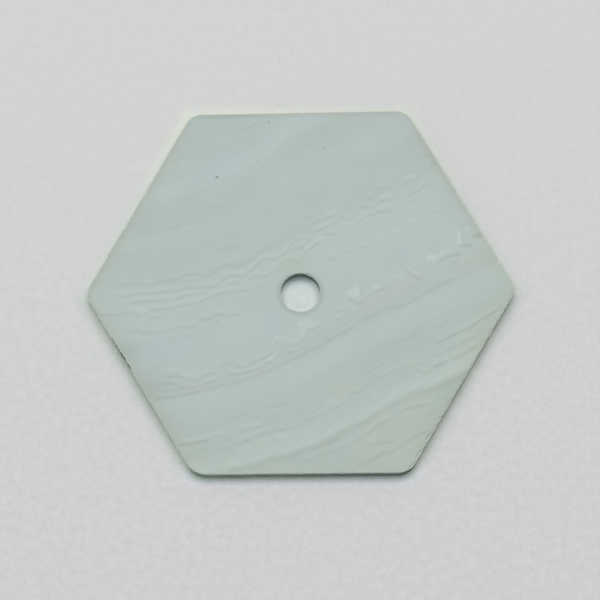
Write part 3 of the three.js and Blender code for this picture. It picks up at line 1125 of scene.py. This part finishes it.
def add_hexagon(plate_sizes):
    """A flat hexagon with a corner towards +X, its corners strayed and rounded."""
    corner_reach = 0.5 * plate_sizes.across_flats / math.cos(math.pi / SIDES)
    bpy.ops.object.select_all(action="DESELECT")
    bpy.ops.mesh.primitive_circle_add(
        vertices=SIDES, radius=corner_reach, fill_type="NGON", rotation=(0, 0, math.pi / 2))
    plate = named("banded_agate_plate")
    bpy.ops.object.transform_apply(location=False, rotation=True, scale=False)
    bpy.ops.object.mode_set(mode="EDIT")
    for degrees, stray, _radius in CORNERS:
        corner = direction(degrees) * corner_reach
        pick(plate, "VERT", lambda v: (v.co - corner).length < CORNER_SEARCH * corner_reach)
        bpy.ops.transform.translate(value=Vector((*stray, 0.0)) * MM)
    for degrees, stray, radius in CORNERS:
        corner = direction(degrees) * corner_reach + Vector((*stray, 0.0)) * MM
        pick(plate, "VERT", lambda v: (v.co - corner).length < TOUCHING)
        bpy.ops.mesh.bevel(
            offset=radius * MM * math.tan(math.pi / SIDES), segments=CORNER_STEPS,
            affect="VERTICES")
    return plate


def drill_hole(plate, plate_sizes):
    """Turn the flat hexagon into a ring of faces around the hole."""
    side = 0.5 * plate_sizes.across_flats
    pick(plate, "EDGE", lambda e: e.calc_length() > 0.5 * side)
    bpy.ops.mesh.subdivide(number_cuts=CUTS_PER_SIDE)
    take("FACE", "SELECT")
    bpy.ops.mesh.delete(type="ONLY_FACE")
    steps = SIDES * (CORNER_STEPS + CUTS_PER_SIDE + 1)
    bpy.ops.mesh.primitive_circle_add(
        vertices=steps, radius=0.5 * plate_sizes.hole_diameter, fill_type="NOTHING")
    take("EDGE", "SELECT")
    bpy.ops.mesh.bridge_edge_loops(number_cuts=RINGS_TO_HOLE, interpolation="LINEAR")
    close_mesh()


def wander_outline(plate):
    """Let the flat outline stray a few hundredths of a millimetre, as a ground edge does."""
    for axis, length in WANDER_LENGTHS:
        texture = bpy.data.textures.new("edge_wander_" + axis.lower(), "CLOUDS")
        texture.noise_scale = length
        texture.noise_depth = 2
        apply_modifier(
            plate, "DISPLACE", texture=texture, direction=axis, strength=OUTLINE_WANDER,
            mid_level=0.5)
        bpy.data.textures.remove(texture)


def raise_plate(plate, plate_sizes):
    """Extrude the flat ring to its thickness and break every rim."""
    open_mesh(plate)
    take("FACE", "SELECT")
    step = plate_sizes.thickness / WALL_STEPS
    for _ in range(WALL_STEPS):
        bpy.ops.mesh.extrude_region_move(TRANSFORM_OT_translate={"value": (0, 0, step)})
    weld(WELD_RAISED)
    take("EDGE", "DESELECT")
    bpy.ops.mesh.edges_select_sharp(sharpness=SHARP_RIM)
    bpy.ops.mesh.bevel(
        offset=plate_sizes.edge_break, segments=plate_sizes.edge_break_steps, affect="EDGES")
    close_mesh()


def wear_materials(plate, materials):
    """Polished stone on top, lapped stone below, frosted rims and ground walls."""
    for material in materials:
        plate.data.materials.append(material)
    polished, frosted, ground, lapped, _chipped = range(len(materials))
    flat = math.cos(LEAN_ALLOWED)
    upright = math.sin(LEAN_ALLOWED)
    open_mesh(plate)
    for slot, wanted in (
        (polished, lambda f: f.normal.z > flat),
        (lapped, lambda f: f.normal.z < -flat),
        (frosted, lambda f: upright < abs(f.normal.z) <= flat),
        (ground, lambda f: abs(f.normal.z) <= upright),
    ):
        pick(plate, "FACE", wanted)
        plate.active_material_index = slot
        bpy.ops.object.material_slot_assign()
    close_mesh()


def rim_places(plate, plate_sizes, edge, level):
    """The vertices of one rim, where its wall meets its edge break, in order round it."""
    height = plate_sizes.edge_break
    if level == "upper":
        height = plate_sizes.thickness - plate_sizes.edge_break
    half_way = 0.25 * plate_sizes.across_flats
    places = []
    for vertex in plate.data.vertices:
        place = vertex.co
        outside = place.xy.length > half_way
        on_wall = place.xy.length < 0.51 * plate_sizes.hole_diameter or outside
        if abs(place.z - height) < ON_RIM and on_wall and outside == (edge == "outline"):
            places.append(place.copy())
    places.sort(key=lambda p: math.atan2(p.y, p.x))
    return places


def add_ball(radius, centre, **turned):
    """One small ball that cuts a chip or a pit."""
    bpy.ops.mesh.primitive_ico_sphere_add(
        subdivisions=2, radius=radius, location=centre, **turned)


def add_chip(place, edge, level, bite, chance):
    """One flattened ball set so that it bites a rim by this much."""
    outward = Vector((place.x, place.y, 0.0)).normalized()
    if edge == "hole":
        outward.negate()
    upward = Vector((0, 0, 1 if level == "upper" else -1))
    radius = bite * chance.uniform(*BALL_SIZE)
    lean = (outward + upward).normalized()
    turn = math.atan2(outward.y, outward.x) + math.pi / 2
    add_ball(
        radius, place + lean * (radius - bite),
        rotation=(
            chance.uniform(-BALL_TURN, BALL_TURN), chance.uniform(-BALL_LEAN, BALL_LEAN), turn),
        scale=(chance.uniform(*BALL_LENGTH), 1.0, chance.uniform(*BALL_HEIGHT)))


def add_pits(top):
    """The balls of the open pits in the face, the first one as a mesh of its own."""
    bpy.ops.object.select_all(action="DESELECT")
    (x, y), radius = FACE_PITS[0]
    add_ball(radius * MM, (x * MM, y * MM, top))
    cutters = named("chip_cutters")
    bpy.ops.object.transform_apply(location=True, rotation=True, scale=True)
    bpy.ops.object.mode_set(mode="EDIT")
    for (x, y), radius in FACE_PITS[1:]:
        add_ball(radius * MM, (x * MM, y * MM, top + PIT_LIFT * radius * MM))
    return cutters


def chip_cutters(plate, plate_sizes, chipped):
    """All the small balls that chip the rims and open the pits, as one mesh."""
    chance = random.Random(CHIP_SEED)
    cutters = add_pits(plate_sizes.thickness)
    for edge, level, first, last, count, smallest, largest in CHIP_ROWS:
        places = [
            place for place in rim_places(plate, plate_sizes, edge, level)
            if first <= math.degrees(math.atan2(place.y, place.x)) <= last
        ]
        for number in range(count):
            spot = (number + chance.uniform(*SPOT_IN_STEP)) * (len(places) - 1) / count
            bite = MM * (smallest + (largest - smallest) * chance.random() ** 2)
            before = int(spot)
            place = places[before].lerp(places[before + 1], spot - before)
            add_chip(place, edge, level, bite, chance)
    places = rim_places(plate, plate_sizes, "outline", "upper")
    for spot, bite in LARGE_CHIPS:
        nearest = min(places, key=lambda p: (p.xy - Vector(spot) * MM).length)
        add_chip(nearest, "outline", "upper", bite * MM, chance)
    close_mesh()
    cutters.data.materials.append(chipped)
    return cutters


def chip_rims(plate, plate_sizes, chipped):
    """Cut the chips and pits out of the plate."""
    cutters = chip_cutters(plate, plate_sizes, chipped)
    apply_modifier(
        plate, "BOOLEAN", operation="DIFFERENCE", object=cutters, solver="EXACT",
        use_self=True, material_mode="TRANSFER")
    only_selected(cutters)
    bpy.ops.object.delete()


def flow_across(x, y):
    """Where a point lies across the flow of the bands, in mm: y where its band meets x = 0."""
    x = min(max(x, FLOW_X[0]), FLOW_X[-1])
    step = max(i for i in range(len(FLOW_X) - 1) if FLOW_X[i] <= x)
    share = (x - FLOW_X[step]) / (FLOW_X[step + 1] - FLOW_X[step])
    eased = share * share * (3 - 2 * share) * FLOW_EASE + share * (1 - FLOW_EASE)
    heights = [line[step] + (line[step + 1] - line[step]) * eased for line in FLOW_LINES]
    middle = FLOW_X.index(0.0)
    labels = [line[middle] for line in FLOW_LINES]
    lower = 0
    while lower < len(heights) - 2 and y > heights[lower + 1]:
        lower += 1
    part = (y - heights[lower]) / (heights[lower + 1] - heights[lower])
    return labels[lower] + part * (labels[lower + 1] - labels[lower])


def map_band_flow(plate, plate_sizes):
    """Write the flow of the bands into a UV map: along in U, across in V, in mm."""
    layer = plate.data.uv_layers.new(name="BandFlow")
    for loop, spot in zip(plate.data.loops, layer.data):
        place = plate.data.vertices[loop.vertex_index].co / MM
        depth = plate_sizes.thickness / MM - place.z
        spot.uv = (place.x, flow_across(place.x, place.y + BAND_DIP * depth))


def clean_mesh(plate):
    """Merge what the chips left doubled, point every face outwards and smooth the rounds."""
    open_mesh(plate)
    weld(WELD_CHIPPED)
    close_mesh()
    bpy.ops.object.shade_smooth_by_angle(angle=SMOOTH_UP_TO)
    bpy.ops.object.mode_set(mode="EDIT")
    pick(plate, "FACE", lambda f: abs(f.normal.z) > LEVEL_FACE)
    bpy.ops.mesh.faces_shade_flat()
    close_mesh()


class AGATE_OT_cut_plate(bpy.types.Operator):
    """Cut the banded agate plate in place of its plain solid"""

    bl_idname = "agate.cut_plate"
    bl_label = "Cut agate plate"

    def execute(self, context):
        plate_sizes = context.scene.agate_plate
        finish = context.scene.agate_finish
        shared = shared_effects()
        materials = [stone_material(surface, shared, finish) for surface in SURFACES]
        plate = add_hexagon(plate_sizes)
        drill_hole(plate, plate_sizes)
        wander_outline(plate)
        raise_plate(plate, plate_sizes)
        wear_materials(plate, materials)
        chip_rims(plate, plate_sizes, materials[-1])
        clean_mesh(plate)
        map_band_flow(plate, plate_sizes)
        if not plate.data.polygons:
            raise RuntimeError("the chips removed the whole plate")
        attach(plate, "root")
        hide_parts(SOLID)
        return {"FINISHED"}


# ---------------- the stage


def lay_paper(stage):
    """A wide sheet of paper under the plate."""
    bpy.ops.object.select_all(action="DESELECT")
    bpy.ops.mesh.primitive_plane_add(size=PAPER_SIZE)
    paper = named("paper_floor")
    paper.data.materials.append(paper_material(stage))


def aim_camera(context, stage):
    """A long lens above the near side of the plate."""
    elevation = stage.camera_elevation
    back = Vector((0.0, -math.cos(elevation), math.sin(elevation)))
    bpy.ops.object.camera_add(location=CAMERA_AIM + back * stage.camera_distance)
    camera = named("picture_camera")
    tilt = Matrix.Rotation(math.pi / 2 - elevation, 3, "X")
    roll = Matrix.Rotation(stage.camera_roll, 3, "Z")
    camera.rotation_euler = (tilt @ roll).to_euler()
    lens = camera.data
    lens.sensor_width = SENSOR_WIDTH
    lens.lens = lens.sensor_width * stage.camera_distance / stage.field_width
    lens.clip_start = CLIP_START
    lens.clip_end = CLIP_END
    context.scene.camera = camera


def hang_key_light(stage):
    """A big softbox high on the far side, a little to the left."""
    place = direction(KEY_SIDE) * math.cos(KEY_HEIGHT)
    place.z = math.sin(KEY_HEIGHT)
    bpy.ops.object.light_add(type="AREA", location=place * KEY_DISTANCE)
    key = named("softbox")
    key.data.shape = "RECTANGLE"
    key.data.size = KEY_WIDTH
    key.data.size_y = KEY_DEPTH
    key.data.energy = stage.key_power
    key.rotation_euler = place.to_track_quat("Z", "Y").to_euler()


def light_room(context, stage):
    """Even white light from all round, and a plain view of the colours."""
    world = bpy.data.worlds.new("room_light")
    world.use_nodes = True
    background = world.node_tree.nodes["Background"]
    background.inputs["Color"].default_value = (1.0, 1.0, 1.0, 1.0)
    background.inputs["Strength"].default_value = stage.room_strength
    context.scene.world = world
    context.scene.view_settings.view_transform = "Standard"


class AGATE_OT_set_stage(bpy.types.Operator):
    """Lay the paper, aim the camera and hang the lights"""

    bl_idname = "agate.set_stage"
    bl_label = "Set agate stage"

    def execute(self, context):
        stage = context.scene.agate_stage
        lay_paper(stage)
        aim_camera(context, stage)
        hang_key_light(stage)
        light_room(context, stage)
        if context.scene.camera is None:
            raise RuntimeError("the stage has no camera")
        return {"FINISHED"}


# ---------------- the add-on


class AGATE_PT_sidebar(bpy.types.Panel):
    """The plate's and the stage's settings"""

    bl_idname = "AGATE_PT_sidebar"
    bl_label = "Blue lace agate"
    bl_space_type = "VIEW_3D"
    bl_region_type = "UI"
    bl_category = "Agate"

    def draw(self, context):
        for heading, settings, operator in (
            ("Stage", context.scene.agate_stage, AGATE_OT_set_stage),
            ("Plate", context.scene.agate_plate, AGATE_OT_cut_plate),
            ("Finish", context.scene.agate_finish, None),
        ):
            box = self.layout.box()
            box.label(text=heading)
            for name in settings.__annotations__:
                box.prop(settings, name)
            if operator:
                box.operator(operator.bl_idname)


CLASSES = (
    AgatePlateSettings,
    AgateFinishSettings,
    AgateStageSettings,
    AGATE_OT_cut_plate,
    AGATE_OT_set_stage,
    AGATE_PT_sidebar,
)


def register():
    for each in CLASSES:
        bpy.utils.register_class(each)
    bpy.types.Scene.agate_plate = PointerProperty(type=AgatePlateSettings)
    bpy.types.Scene.agate_finish = PointerProperty(type=AgateFinishSettings)
    bpy.types.Scene.agate_stage = PointerProperty(type=AgateStageSettings)


def unregister():
    del bpy.types.Scene.agate_stage
    del bpy.types.Scene.agate_finish
    del bpy.types.Scene.agate_plate
    for each in reversed(CLASSES):
        bpy.utils.unregister_class(each)


def main():
    register()
    bpy.ops.agate.set_stage()
    bpy.ops.agate.cut_plate()


if __name__ == "__main__":
    main()
